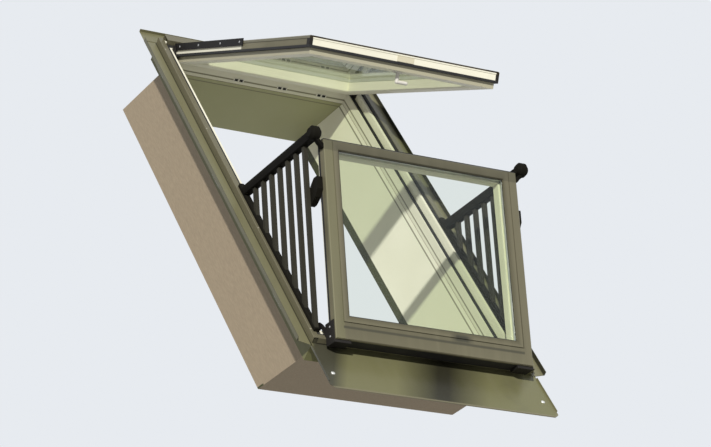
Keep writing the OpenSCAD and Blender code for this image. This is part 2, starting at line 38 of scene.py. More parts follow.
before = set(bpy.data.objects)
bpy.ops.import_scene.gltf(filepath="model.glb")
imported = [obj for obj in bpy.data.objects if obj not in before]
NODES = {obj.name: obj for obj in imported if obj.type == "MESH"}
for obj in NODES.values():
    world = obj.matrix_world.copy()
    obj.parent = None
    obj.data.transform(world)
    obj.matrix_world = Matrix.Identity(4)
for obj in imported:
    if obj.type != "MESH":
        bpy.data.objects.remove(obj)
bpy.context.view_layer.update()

# Driving sizes in degrees and metres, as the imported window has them
ROOF_PITCH = 57.0
CANOPY_SLOPE = 23.5
ROOF_FOOT = 0.0365
FRAME_LENGTH = 2.550
OPENING_LOW = 0.070
OPENING_HIGH = 2.470
STOP_WIDTH = 0.014
HINGE_V = OPENING_HIGH - 0.008
HINGE_W = 0.050
HINGE_PLATE = 0.004
SASH_DEPTH = 0.076
FRAME_BELOW = 0.090
LINING_DEPTH = 0.415
LINING_END = -FRAME_BELOW - LINING_DEPTH

# Each sash's length, and the widths of its rails at the low and the high end
SASHES = {"upper": (1.480, 0.118, 0.118), "lower": (0.960, 0.118, 0.050)}

# Half widths of frame, opening, sash, stiles and glass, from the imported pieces
FRAME_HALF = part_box("frame_side_right")[1][0]
OPENING_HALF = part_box("frame_side_right")[0][0] + STOP_WIDTH
SASH_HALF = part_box("upper_cladding")[1][0]
STILE_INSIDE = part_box("upper_stile_right")[0][0]
STILE_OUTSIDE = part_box("upper_stile_right")[1][0]
GLASS_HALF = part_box("upper_glass")[1][0]

# The sealed unit's edge in the rebate, its faces in the sash, and the cladding's setback
GLASS_BITE = GLASS_HALF - STILE_INSIDE
GLASS_TOP = SASH_DEPTH - 0.002
GLASS_BASE = GLASS_TOP - 0.024
SETBACK = 0.006

# Axes of a finish that is turned by a slope: across, up the slope, out of it
X, Y, Z = range(3)


def place_on_roof():
    """Matrix from roof coordinates (across, up the slope, out of the roof) to the row frame."""
    turn = Matrix.Rotation(math.radians(ROOF_PITCH), 4, "X")
    return turn @ Matrix.Translation((0, ROOF_FOOT, 0))


def place_on_canopy():
    """Matrix from the upper sash's own coordinates to the row frame."""
    hinge = Matrix.Translation((0, HINGE_V, HINGE_W))
    turn = Matrix.Rotation(math.radians(CANOPY_SLOPE - ROOF_PITCH), 4, "X")
    start = Matrix.Translation((0, -SASHES["upper"][0], -SASH_DEPTH))
    return place_on_roof() @ hinge @ turn @ start


def canopy_start():
    """Where the upper sash's own origin lies in a finish that is turned by its slope."""
    turn = Matrix.Rotation(math.radians(-CANOPY_SLOPE), 4, "X")
    return (turn @ place_on_canopy()).to_translation()


def place_on_balustrade():
    """Matrix from the lower sash's own coordinates to the row frame."""
    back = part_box("lower_rail_top")
    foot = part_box("lower_stile_left")[0][2]
    return Matrix.Translation((0, back[1][1], foot)) @ Matrix.Rotation(math.radians(90), 4, "X")


def sash_place(which):
    return place_on_canopy() if which == "upper" else place_on_balustrade()


def roof_and_out():
    """The roof's matrix, and the direction straight out of the roof."""
    roof = place_on_roof()
    return roof, roof.to_3x3() @ Vector((0, 0, 1))


# Colours and sizes that a user may change


def colour(name, value, words):
    return FloatVectorProperty(
        name=name, description=words, default=value, subtype="COLOR", size=3, min=0.0, max=1.0
    )


def length(name, default, low, high, words):
    return FloatProperty(
        name=name, description=words, default=default, min=low, max=high, unit="LENGTH"
    )


class WindowColours(bpy.types.PropertyGroup):
    timber: colour("Timber", (0.82, 0.80, 0.67), "Cream paint of the frame and sashes")
    joint: colour("Joints", (0.16, 0.15, 0.09), "Fine grooves and joints in the timber")
    # Dust on the timber; the same colour also paints the shade on the canopy's ledge under its seal
    timber_dust_and_shade: colour("Timber dirt", (0.36, 0.34, 0.24), "Dust that settles along the timber")
    cover: colour("Metal covers", (0.088, 0.081, 0.050), "Coated sheet of covers and cladding")
    cover_worn: colour("Worn cover", (0.190, 0.176, 0.116), "Paler dust and wear on the sheet")
    flashing: colour("Flashing", (0.150, 0.149, 0.065), "Coated sheet of the flashing")
    # Water marks; the same colour also paints shade on the lower sash's top rail and along the
    # flashing's lines
    flashing_stain_and_shade: colour("Flashing stain", (0.046, 0.045, 0.032), "Water marks on the flashing")
    # Painted shadow: the near-black soft band across the middle of the apron
    apron_shadow: colour("Soot", (0.012, 0.011, 0.008), "Black stain in the middle of the apron")
    seal: colour("Seal", (0.014, 0.014, 0.015), "Rubber seals")
    railing: colour("Railing", (0.005, 0.0045, 0.0035), "Handrails and foot rails")
    baluster: colour("Balusters", (0.020, 0.019, 0.014), "Upright bars of the railing")
    hinge: colour("Hinges", (0.010, 0.009, 0.009), "Hinge bars and shoes")
    handle: colour("Handle", (0.62, 0.60, 0.55), "Lever of the upper sash")
    lock_plate: colour("Lock plate", (0.50, 0.45, 0.30), "Plate on the canopy's front edge")
    lining: colour("Lining", (0.90, 0.88, 0.74), "Painted boards of the reveal")
    # Painted shade: the head board's paint is darker and more olive to stand for the shade on it
    lining_head_shade: colour("Deep lining", (0.35, 0.35, 0.19), "Head board of the reveal")
    lining_edge: colour("Lining edge", (0.043, 0.047, 0.012), "Dark strip at the reveal's end")
    raw_board: colour("Raw board", (0.36, 0.29, 0.20), "Unpainted outside of the lining and frame")
    zinc: colour("Brackets", (0.56, 0.57, 0.58), "Galvanised steel")
    spacer: colour("Spacer", (0.55, 0.56, 0.56), "Aluminium spacer between the panes")
    floor: colour("Floor", (0.80, 0.80, 0.79), "Studio floor")
    backdrop: colour("Backdrop", (0.80, 0.83, 0.87), "What the camera sees behind the window")


class WindowSizes(bpy.types.PropertyGroup):
    screw_head: length("Screw head", 0.009, 0.004, 0.016, "Diameter of the cover screws")
    bracket_screw: length(
        "Bracket screw", 0.014, 0.010, 0.020, "Diameter of the screw heads in the brackets"
    )
    rivet: length("Rivet", 0.012, 0.006, 0.018, "Diameter of the rivets in the hinges")
    strike_length: length(
        "Strike plate", 0.060, 0.040, 0.080, "Length of the strike plates on the frame's head"
    )
    spacer_depth: length(
        "Spacer depth", 0.014, 0.008, 0.018, "Thickness of the spacer between the panes"
    )
    gasket: length(
        "Gasket", 0.004, 0.002, 0.008, "Width of the glazing gasket beside the cladding"
    )


class WindowStage(bpy.types.PropertyGroup):
    camera_place: FloatVectorProperty(
        name="Camera", description="Where the camera stands", size=3,
        default=(-6.617, -10.623, -4.737), subtype="TRANSLATION", unit="LENGTH",
    )
    camera_target: FloatVectorProperty(
        name="Target", description="Point that the camera looks at", size=3,
        default=(0.150, 0.783, 1.037), subtype="TRANSLATION", unit="LENGTH",
    )
    camera_roll: FloatProperty(
        name="Roll", description="Tilt of the camera, as in the photograph",
        default=math.radians(-3.935), subtype="ANGLE",
    )
    camera_lens: FloatProperty(
        name="Lens", description="Focal length in millimetres on a 36 mm sensor",
        default=151.2, min=20, max=400,
    )
    sun_strength: FloatProperty(
        name="Sun", description="Strength of the sun lamp", default=4.0, min=0, max=10
    )
    sun_size: FloatProperty(
        name="Sun size", description="Angle of the sun lamp, which softens its shadows",
        default=math.radians(1.6), subtype="ANGLE",
    )
    sun_from: FloatVectorProperty(
        name="Sun from", description="Direction towards the sun", size=3,
        default=(-0.51, -0.82, 0.24), subtype="DIRECTION",
    )
    sky_strength: FloatProperty(
        name="Sky", description="Strength of the even light from all round",
        default=0.27, min=0, max=4,
    )
    floor_height: FloatProperty(
        name="Floor", description="Height of the studio floor, below the camera",
        default=-6.0, unit="LENGTH",
    )


# Node helpers


class Finish:
    """One procedural material, built node by node."""

    def __init__(self, name, turn=0.0):
        self.material = bpy.data.materials.new(name)
        self.material.use_nodes = True
        self.tree = self.material.node_tree
        self.tree.nodes.clear()
        self.out = self.tree.nodes.new("ShaderNodeOutputMaterial")
        self.shader = self.tree.nodes.new("ShaderNodeBsdfPrincipled")
        self.tree.links.new(self.shader.outputs["BSDF"], self.out.inputs["Surface"])
        place = self.tree.nodes.new("ShaderNodeTexCoord")
        mapping = self.tree.nodes.new("ShaderNodeMapping")
        mapping.inputs["Rotation"].default_value = (math.radians(-turn), 0, 0)
        self.tree.links.new(place.outputs["Object"], mapping.inputs["Vector"])
        self.place = mapping.outputs["Vector"]

    def add(self, kind, **settings):
        node = self.tree.nodes.new(kind)
        for key, value in settings.items():
            setattr(node, key, value)
        return node

    def put(self, socket, value):
        if isinstance(value, bpy.types.NodeSocket):
            self.tree.links.new(value, socket)
        elif hasattr(value, "__len__"):
            value = tuple(value)
            if len(value) == 3 and len(socket.default_value) == 4:
                value += (1.0,)
            socket.default_value = value
        else:
            socket.default_value = value

    def stretch(self, scale):
        node = self.add("ShaderNodeMapping")
        self.put(node.inputs["Vector"], self.place)
        node.inputs["Scale"].default_value = scale
        return node.outputs["Vector"]

    def noise(self, scale, detail=3.0, rough=0.55, vector=None, warp=0.0):
        node = self.add("ShaderNodeTexNoise")
        self.put(node.inputs["Vector"], vector or self.place)
        node.inputs["Scale"].default_value = scale
        node.inputs["Detail"].default_value = detail
        node.inputs["Roughness"].default_value = rough
        node.inputs["Distortion"].default_value = warp
        return node.outputs["Fac"]

    def cells(self, scale):
        """A random value for each cell, as in the crystals of zinc."""
        node = self.add("ShaderNodeTexVoronoi")
        self.put(node.inputs["Vector"], self.place)
        node.inputs["Scale"].default_value = scale
        return self.axis(X, node.outputs["Color"])

    def span(self, value, low, high, to_low=0.0, to_high=1.0):
        node = self.add("ShaderNodeMapRange")
        self.put(node.inputs["Value"], value)
        node.inputs["From Min"].default_value = low
        node.inputs["From Max"].default_value = high
        node.inputs["To Min"].default_value = to_low
        node.inputs["To Max"].default_value = to_high
        return node.outputs["Result"]

    def maths(self, kind, a, b=0.0):
        node = self.add("ShaderNodeMath", operation=kind)
        self.put(node.inputs[0], a)
        self.put(node.inputs[1], b)
        return node.outputs[0]

    def above(self, value, limit):
        return self.maths("GREATER_THAN", value, limit)

    def below(self, value, limit):
        return self.maths("LESS_THAN", value, limit)

    def times(self, a, b):
        return self.maths("MULTIPLY", a, b)

    def either(self, a, b):
        return self.maths("MAXIMUM", a, b)

    def near(self, value, place, inner, outer, most=1.0):
        """High where value is within inner of place, fading to nothing at outer."""
        away = self.maths("ABSOLUTE", self.maths("SUBTRACT", value, place))
        return self.span(away, inner, outer, most, 0.0)

    def axis(self, which, vector=None):
        node = self.add("ShaderNodeSeparateXYZ")
        self.put(node.inputs[0], vector or self.place)
        return node.outputs[which]

    def off_middle(self):
        """Distance from the window's middle, to either side."""
        return self.maths("ABSOLUTE", self.axis(X))

    def blend(self, share, a, b):
        node = self.add("ShaderNodeMix", data_type="RGBA")
        self.put(node.inputs["Factor"], share)
        self.put(node.inputs[6], a)
        self.put(node.inputs[7], b)
        return node.outputs[2]

    def worn_edges(self):
        """High on outer edges, low in corners."""
        node = self.add("ShaderNodeNewGeometry")
        return self.span(node.outputs["Pointiness"], 0.50, 0.56)

    def relief(self, height, distance, strength=1.0, under=None):
        node = self.add("ShaderNodeBump")
        self.put(node.inputs["Height"], height)
        node.inputs["Distance"].default_value = distance
        node.inputs["Strength"].default_value = strength
        if under is not None:
            self.tree.links.new(under, node.inputs["Normal"])
        return node.outputs["Normal"]

    def finish(self, base, rough, normal=None, metallic=0.0, specular=0.5):
        self.put(self.shader.inputs["Base Color"], base)
        self.put(self.shader.inputs["Roughness"], rough)
        self.shader.inputs["Metallic"].default_value = metallic
        self.shader.inputs["Specular IOR Level"].default_value = specular
        if normal is not None:
            self.tree.links.new(normal, self.shader.inputs["Normal"])
        return self.material


def stretched(along, fine, coarse):
    """Scale of a noise that runs along one axis."""
    return tuple(coarse if axis == along else fine for axis in range(3))


def painted_timber(name, turn, along, colours, coated=None, groove=None, outside=None, shaded_ledge=None):
    """Cream paint over straight-grained timber, with dust in the corners.

    coated: farther out than its first number, and below its second along the timber, the sides
    have the coating of the metal covers.
    groove: a fine groove runs along the timber at this height.
    outside: beyond these places (across, low, high) the timber has the flashing's sheet.
    shaded_ledge: the edge under the seal, beyond the first number across or before the second
    along the slope and below the third, is darkened as painted shade from the overhang.
    """
    f = Finish(name, turn)
    fibres = f.stretch(stretched(along, 26.0, 1.4))
    grain = f.noise(1.0, 6.0, 0.62, fibres, 0.4)
    brush = f.noise(5.0, 4.0, 0.7, fibres)
    cloud = f.noise(2.2, 3.0)
    tone = f.blend(f.span(grain, 0.35, 0.75, 0.0, 0.16), colours.timber, colours.timber_dust_and_shade)
    dusty = f.times(f.span(cloud, 0.45, 0.75, 0.0, 0.30), f.span(brush, 0.3, 0.7))
    tone = f.blend(dusty, tone, colours.timber_dust_and_shade)
    normal = f.relief(grain, 0.0006, 0.55)
    normal = f.relief(brush, 0.0002, 0.5, normal)
    if groove is not None:
        tone = f.blend(f.near(f.axis(Z), groove, 0.0024, 0.0056, 0.85), tone, colours.joint)
    if shaded_ledge is not None:
        across, foot, top = shaded_ledge
        # Painted shade: the ledge under the seal is darkened where the overhang shades it
        edge = f.either(f.above(f.off_middle(), across), f.below(f.axis(Y), foot))
        edge = f.times(edge, f.below(f.axis(Z), top))
        tone = f.blend(f.times(edge, 0.9), tone, colours.timber_dust_and_shade)
    if coated is not None:
        across, end = coated
        coat = f.blend(f.span(cloud, 0.3, 0.7), colours.cover_worn, colours.cover)
        side = f.times(f.above(f.off_middle(), across), f.below(f.axis(along), end))
        tone = f.blend(side, tone, coat)
    if outside is not None:
        across, low, high = outside
        beyond = f.either(f.above(f.off_middle(), across), f.below(f.axis(Y), low))
        beyond = f.either(beyond, f.above(f.axis(Y), high))
        tone = f.blend(beyond, tone, colours.flashing)
    return f.finish(tone, f.span(brush, 0.2, 0.8, 0.40, 0.58), normal, specular=0.2)


def coated_sheet(
    name, turn, along, base, worn, stain_and_shade, marks=(), seams_and_shade_lines=(), hem=None, groove=None,
    painted_light_zones=(), front=None,
):
    """Coated metal sheet: slight waves, streaks of rain dust, paler folds.

    marks: soft dark streaks (across, half width of the dark and of the whole, colour) that lean as
    they run down the slope; each is a stain or a painted shadow, as its colour says.
    seams_and_shade_lines: dark lines at these distances from the middle, dirt and painted shade.
    hem: the paler edge below this place along the slope.
    groove: the dark fold across the bottom rail, as its height and how far it reaches from the
    middle, with a blot above it.
    painted_light_zones: soft-edged zones (axis, low, high, colour, share) of painted light and
    shade.
    front: the front edge, as its place along the slope, how far from the middle and up to which
    height it has its first colour, and its two colours.
    """
    f = Finish(name, turn)
    streak = f.noise(2.0, 5.0, 0.6, f.stretch(stretched(along, 9.0, 0.9)), 0.2)
    cloud = f.noise(3.4, 4.0, 0.6)
    fine = f.noise(420.0, 2.0, 0.5)
    wave = f.noise(1.6, 1.0, 0.4)
    dust = f.times(f.span(streak, 0.45, 0.78), f.span(cloud, 0.3, 0.7, 0.25, 1.0))
    tone = f.blend(f.times(dust, 0.42), base, worn)
    tone = f.blend(f.span(cloud, 0.56, 0.80, 0.0, 0.35), tone, stain_and_shade)
    tone = f.blend(f.times(f.worn_edges(), 0.5), tone, worn)
    lean = 0.40
    leaning = f.maths("SUBTRACT", f.axis(X), f.times(f.axis(Y), lean))
    for middle, inner, outer, paint in marks:
        tone = f.blend(f.near(leaning, middle, inner, outer, 0.90), tone, paint)
    # Zones painted lighter or darker where light or shade falls on the sheet
    for which, low, high, paint, most in painted_light_zones:
        half = (high - low) / 2
        zone = f.near(f.axis(which), (low + high) / 2, half - 0.003, half, most)
        tone = f.blend(zone, tone, paint)
    # Dark lines of dirt and painted shade along the cover's foot and the flashing's fold
    for out in seams_and_shade_lines:
        line = f.near(f.off_middle(), out, 0.002, 0.006, 0.85)
        tone = f.blend(line, tone, tuple(v * 0.35 for v in stain_and_shade))
    if hem is not None:
        tone = f.blend(f.span(f.axis(Y), hem, hem + 0.006, 0.8, 0.0), tone, worn)
    if groove is not None:
        height, reach = groove
        fold = f.near(f.axis(Z), height, 0.0035, 0.0085, 0.75)
        tone = f.blend(f.times(fold, f.below(f.off_middle(), reach)), tone, stain_and_shade)
        blot_x, blot_z = 0.14, height + 0.026
        blot = f.near(f.axis(X), blot_x, 0.025, 0.065)
        blot = f.times(blot, f.near(f.axis(Z), blot_z, 0.008, 0.028))
        tone = f.blend(f.times(blot, f.span(cloud, 0.25, 0.55)), tone, stain_and_shade)
    if front is not None:
        place, reach, height, low_paint, high_paint = front
        low = f.times(f.below(f.axis(Z), height), f.below(f.off_middle(), reach))
        paint = f.blend(low, high_paint, low_paint)
        tone = f.blend(f.below(f.axis(Y), place), tone, paint)
    normal = f.relief(wave, 0.006, 0.35)
    normal = f.relief(fine, 0.0001, 0.35, normal)
    rough = f.span(streak, 0.3, 0.8, 0.30, 0.46)
    rough = f.maths("ADD", rough, f.span(fine, 0.3, 0.7, -0.03, 0.05))
    return f.finish(tone, rough, normal, metallic=0.10, specular=0.30)


def rubber(name, base):
    """Matt rubber with a faint moulded skin."""
    f = Finish(name)
    skin = f.noise(900.0, 2.0)
    cloud = f.noise(14.0, 3.0)
    dust = (0.07, 0.07, 0.06)
    tone = f.blend(f.span(cloud, 0.5, 0.8, 0.0, 0.20), base, dust)
    rough = f.span(skin, 0.3, 0.7, 0.62, 0.80)
    return f.finish(tone, rough, f.relief(skin, 0.00008, 0.5), specular=0.35)


def powder_coat(name, base, pale, rough_low, rough_high, specular=0.5):
    """Powder coat with a fine orange-peel skin and rubbed edges."""
    f = Finish(name)
    peel = f.noise(520.0, 2.0, 0.5)
    cloud = f.noise(9.0, 4.0, 0.6)
    tone = f.blend(f.span(cloud, 0.50, 0.80, 0.0, 0.30), base, pale)
    tone = f.blend(f.times(f.worn_edges(), 0.35), tone, pale)
    rough = f.span(cloud, 0.3, 0.7, rough_low, rough_high)
    return f.finish(tone, rough, f.relief(peel, 0.00012, 0.5), specular=specular)


def bare_metal(name, base, rough, spangle):
    """Galvanised or plain metal, with the crystal pattern of zinc where spangle is over 0."""
    f = Finish(name)
    cloud = f.noise(30.0, 3.0)
    shade = f.times(f.span(f.cells(70.0), 0.0, 1.0), spangle)
    tone = f.blend(shade, base, tuple(v * 0.55 for v in base))
    rough = f.span(cloud, 0.3, 0.7, rough, rough + 0.16)
    return f.finish(tone, rough, f.relief(cloud, 0.0001, 0.4), metallic=0.85)


def lining_paint(name, colours, paint, end_w, outward):
    """Matt paint on boards, raw on the side that faces outward.

    end_w: the dark strip at the inner end of the reveal begins at this depth.
    """
    f = Finish(name, ROOF_PITCH)
    roller = f.noise(260.0, 3.0, 0.6)
    cloud = f.noise(2.6, 3.0)
    dull = (0.52, 0.52, 0.36)
    tone = f.blend(f.span(cloud, 0.40, 0.75, 0.0, 0.14), paint, dull)
    deep = f.axis(Z)
    frame_joint = -0.118
    tone = f.blend(f.near(deep, frame_joint, 0.0026, 0.0060, 0.85), tone, colours.joint)
    fibre = f.noise(60.0, 4.0, 0.6, f.stretch((3.0, 0.4, 3.0)))
    dark_fibre = tuple(v * 0.6 for v in colours.raw_board)
    raw = f.blend(f.span(fibre, 0.3, 0.7, 0.0, 0.5), colours.raw_board, dark_fibre)
    dot = f.add("ShaderNodeVectorMath", operation="DOT_PRODUCT")
    f.put(dot.inputs[0], f.add("ShaderNodeNewGeometry").outputs["True Normal"])
    f.put(dot.inputs[1], outward)
    facing = dot.outputs["Value"]
    tone = f.blend(f.above(facing, -0.5), tone, raw)
    if end_w is not None:
        strip = f.times(f.span(deep, end_w - 0.004, end_w, 1.0, 0.0), f.below(facing, 0.5))
        tone = f.blend(strip, tone, colours.lining_edge)
    rough = f.span(roller, 0.3, 0.7, 0.55, 0.72)
    return f.finish(tone, rough, f.relief(roller, 0.00012, 0.5), specular=0.35)


def clear_glass(name):
    """Sealed glass: clear to look through, greens and dims the sun, and mirrors by its angle."""
    f = Finish(name)
    f.tree.nodes.remove(f.shader)
    smear = f.noise(3.0, 4.0, 0.6, f.stretch((1.0, 1.0, 2.5)))
    path = f.add("ShaderNodeLightPath")
    through = f.add("ShaderNodeBsdfTransparent")
    seen_tint, sun_tint = (0.95, 0.97, 0.94), (0.82, 0.86, 0.75)
    f.put(through.inputs["Color"], f.blend(path.outputs["Is Shadow Ray"], seen_tint, sun_tint))
    mirror = f.add("ShaderNodeBsdfGlossy")
    f.put(mirror.inputs["Color"], (0.72, 0.75, 0.72))
    f.put(mirror.inputs["Roughness"], f.span(smear, 0.45, 0.8, 0.015, 0.09))
    slant = f.add("ShaderNodeLayerWeight")
    slant.inputs["Blend"].default_value = 0.5
    share = f.maths("POWER", slant.outputs["Facing"], 4.0)
    mix = f.add("ShaderNodeMixShader")
    f.put(mix.inputs["Fac"], f.span(share, 0.0, 1.0, 0.025, 0.95))
    f.tree.links.new(through.outputs[0], mix.inputs[1])
    f.tree.links.new(mirror.outputs[0], mix.inputs[2])
    f.tree.links.new(mix.outputs[0], f.out.inputs["Surface"])
    return f.material


def dress(material, *names):
    """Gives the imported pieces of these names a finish."""
    for name in names:
        mesh = NODES[name].data
        mesh.materials.clear()
        mesh.materials.append(material)


# Mesh helpers


def piece(name, shape, material):
    """A finished mesh as a named piece that rides on the window."""
    mesh = bpy.data.meshes.new(name)
    shape.normal_update()
    shape.to_mesh(mesh)
    shape.free()
    mesh.materials.append(material)
    thing = bpy.data.objects.new(name, mesh)
    bpy.context.scene.collection.objects.link(thing)
    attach(thing, "root")


def add_bar(shape, low, high, place, bevel=0.0006):
    """A box with softened edges between two corners, set by a matrix."""
    made = bmesh.ops.create_cube(shape, size=1.0)["verts"]
    size = [h - l for l, h in zip(low, high)]
    middle = [(l + h) / 2 for l, h in zip(low, high)]
    bmesh.ops.scale(shape, vec=size, verts=made)
    bmesh.ops.translate(shape, vec=middle, verts=made)
    edges = list({e for v in made for e in v.link_edges})
    soft = min(bevel, min(size) * 0.3)
    done = bmesh.ops.bevel(shape, geom=edges, offset=soft, segments=2, affect="EDGES")
    made = list({v for f in done["faces"] for v in f.verts} | {v for v in made if v.is_valid})
    bmesh.ops.transform(shape, matrix=place, verts=made)


def add_screw(shape, point, out, head, socket=True):
    """A domed head of this diameter, standing on a surface, with a recess or a flat top."""
    turn = Vector((0, 0, 1)).rotation_difference(Vector(out).normalized()).to_matrix().to_4x4()
    place = Matrix.Translation(point) @ turn
    radius, sides = head / 2, 12
    sink = 0.16 if socket else 0.40
    rings = []
    for share, rise in (
        (1.0, 0.0), (1.0, 0.12), (0.88, 0.26), (0.62, 0.36), (0.36, 0.39), (0.30, sink)
    ):
        ring = []
        for i in range(sides):
            angle = i * math.tau / sides
            reach = radius * share
            local = Vector((reach * math.cos(angle), reach * math.sin(angle), radius * rise))
            ring.append(shape.verts.new(place @ local))
        rings.append(ring)
    for low, high in zip(rings, rings[1:]):
        for i in range(sides):
            after = (i + 1) % sides
            shape.faces.new((low[i], low[after], high[after], high[i]))
    shape.faces.new(rings[-1])
    shape.faces.new(list(reversed(rings[0])))


def ring_of_bars(shape, half, low, high, width, base, top, place):
    """A rectangular frame of four bars: half across, low to high along, base to top out."""
    for side in (-1, 1):
        x = sorted((side * half, side * (half - width)))
        add_bar(shape, (x[0], low, base), (x[1], high, top), place)
    for y in (low, high - width):
        add_bar(shape, (-half + width, y, base), (half - width, y + width, top), place)


# Operators


class WINDOW_OT_timber(bpy.types.Operator):
    """Paints the frame and the timber of both sashes"""

    bl_idname = "roof_window.timber"
    bl_label = "Painted timber"

    def execute(self, context):
        c = context.scene.window_colours
        skin = 0.0006
        foot, head = ROOF_FOOT + skin, ROOF_FOOT + FRAME_LENGTH - skin
        marks = {"groove": -0.067, "outside": (FRAME_HALF - skin, foot, head)}
        start = canopy_start()
        # The canopy's ledge under its seal is painted in shade
        ledge_width, ledge_height = 0.0130, 0.0285
        shaded_ledge = (STILE_OUTSIDE - ledge_width, start.y + ledge_width, start.z + ledge_height)
        coat_side, hinge_foot = STILE_OUTSIDE - 0.0005, 0.719
        canopy_coat = (coat_side, start.y + hinge_foot)
        lower_coat = (coat_side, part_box("lower_stile_left")[1][2])
        finishes = (
            (painted_timber("timber_up_slope", ROOF_PITCH, Y, c, **marks),
             "frame_side_left", "frame_side_right"),
            (painted_timber("timber_across_slope", ROOF_PITCH, X, c, **marks),
             "frame_head", "frame_sill"),
            (painted_timber("canopy_stile_timber", CANOPY_SLOPE, Y, c, canopy_coat, shaded_ledge=shaded_ledge),
             "upper_stile_left", "upper_stile_right"),
            (painted_timber("canopy_rail_timber", CANOPY_SLOPE, X, c, shaded_ledge=shaded_ledge),
             "upper_rail_top", "upper_rail_front"),
            (painted_timber("balustrade_stile_timber", 0, Z, c, lower_coat),
             "lower_stile_left", "lower_stile_right"),
            (painted_timber("balustrade_rail_timber", 0, X, c),
             "lower_rail_top", "lower_rail_bottom"),
        )
        for material, *names in finishes:
            dress(material, *names)
        return {"FINISHED"}


class WINDOW_OT_covers(bpy.types.Operator):
    """Coats the frame covers and the cladding of both sashes"""

    bl_idname = "roof_window.covers"
    bl_label = "Metal covers"

    def execute(self, context):
        c = context.scene.window_colours
        paints = (c.cover, c.cover_worn, c.flashing_stain_and_shade)
        start = canopy_start()
        skirt_front, skirt_top = start.y + 0.0005, start.z + SASH_DEPTH + 0.0002
        cap_inside, bead_brown = SASH_HALF - 0.016, (0.028, 0.021, 0.011)
        front = (skirt_front, cap_inside, skirt_top, c.timber, bead_brown)
        # Painted light: the left stile of the lower sash is paler and greener, as its sunlit side
        spare, green_inside, stile_sunlit_green = 0.10, 0.462, (0.165, 0.162, 0.088)
        left_stile_painted_light = (X, -SASH_HALF - spare, -green_inside, stile_sunlit_green, 0.45)
        # Painted shade: the lower sash's top rail is darker, as if shaded by the canopy
        rail_low, rail_high = (corner[2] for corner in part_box("lower_rail_top"))
        top_rail_painted_shade = (Z, rail_low - 0.0006, rail_high + spare, c.flashing_stain_and_shade, 0.40)
        fold_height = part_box("lower_rail_bottom")[0][2] + 0.0554
        fold_reach = STILE_INSIDE + 0.041
        finishes = (
            (coated_sheet("cover_up_slope", ROOF_PITCH, Y, *paints),
             "frame_cover_left", "frame_cover_right"),
            (coated_sheet("cover_across_slope", ROOF_PITCH, X, *paints),
             "frame_cover_head", "frame_cover_sill"),
            (coated_sheet("canopy_cladding_sheet", CANOPY_SLOPE, Y, *paints, front=front),
             "upper_cladding"),
            (coated_sheet("balustrade_cladding_sheet", 0, Z, *paints,
                          groove=(fold_height, fold_reach), painted_light_zones=(left_stile_painted_light, top_rail_painted_shade)),
             "lower_cladding"),
        )
        for material, *names in finishes:
            dress(material, *names)
        return {"FINISHED"}


class WINDOW_OT_seals(bpy.types.Operator):
    """Finishes the rubber seals and lays the strip on the frame's inner stop"""

    bl_idname = "roof_window.seals"
    bl_label = "Seals"

    def execute(self, context):
        gum = rubber("seal_rubber", context.scene.window_colours.seal)
        dress(gum, "frame_seal", "upper_seal", "lower_seal")
        strip = bmesh.new()
        slack = 0.0004
        half, low, high = OPENING_HALF - slack, OPENING_LOW + slack, OPENING_HIGH - slack
        width, base, top = 0.010, -0.0199, -0.0090
        ring_of_bars(strip, half, low, high, width, base, top, place_on_roof())
        piece("stop_gasket", strip, gum)
        return {"FINISHED"}


class WINDOW_OT_glass(bpy.types.Operator):
    """Makes both sealed units clear and adds their spacers and gaskets"""

    bl_idname = "roof_window.glass"
    bl_label = "Glass, spacers and gaskets"

    def execute(self, context):
        c = context.scene.window_colours
        s = context.scene.window_sizes
        dress(clear_glass("sealed_glass"), "upper_glass", "lower_glass")
        metal = bare_metal("spacer_aluminium", tuple(c.spacer), 0.30, 0.0)
        gum = rubber("gasket_rubber", c.seal)
        middle = (GLASS_BASE + GLASS_TOP) / 2
        inset, spacer_width, gasket_rise = 0.002, 0.009, 0.0022
        lip = GLASS_BITE - SETBACK - 0.001
        for which, (long, low, high) in SASHES.items():
            place = sash_place(which)
            start, end = low - GLASS_BITE, long - high + GLASS_BITE
            spacer = bmesh.new()
            ring_of_bars(
                spacer, GLASS_HALF - inset, start + inset, end - inset, spacer_width,
                middle - s.spacer_depth / 2, middle + s.spacer_depth / 2, place,
            )
            piece(which + "_spacer", spacer, metal)
            gasket = bmesh.new()
            ring_of_bars(
                gasket, GLASS_HALF - lip, start + lip, end - lip, s.gasket,
                GLASS_TOP, GLASS_TOP + gasket_rise, place,
            )
            piece(which + "_gasket", gasket, gum)
        return {"FINISHED"}


class WINDOW_OT_railings(bpy.types.Operator):
    """Coats the handrails, balusters and foot rails"""

    bl_idname = "roof_window.railings"
    bl_label = "Side railings"

    def execute(self, context):
        c = context.scene.window_colours
        rail_worn, bar_worn = (0.016, 0.015, 0.011), (0.046, 0.043, 0.032)
        black = powder_coat("railing_black", c.railing, rail_worn, 0.60, 0.74, 0.04)
        bars = powder_coat("baluster_brown_grey", c.baluster, bar_worn, 0.50, 0.66, 0.12)
        for hand in ("left", "right"):
            dress(black, "handrail_" + hand, "foot_rail_" + hand)
            dress(bars, "balusters_" + hand)
        dress(black, "railing_latches")
        return {"FINISHED"}


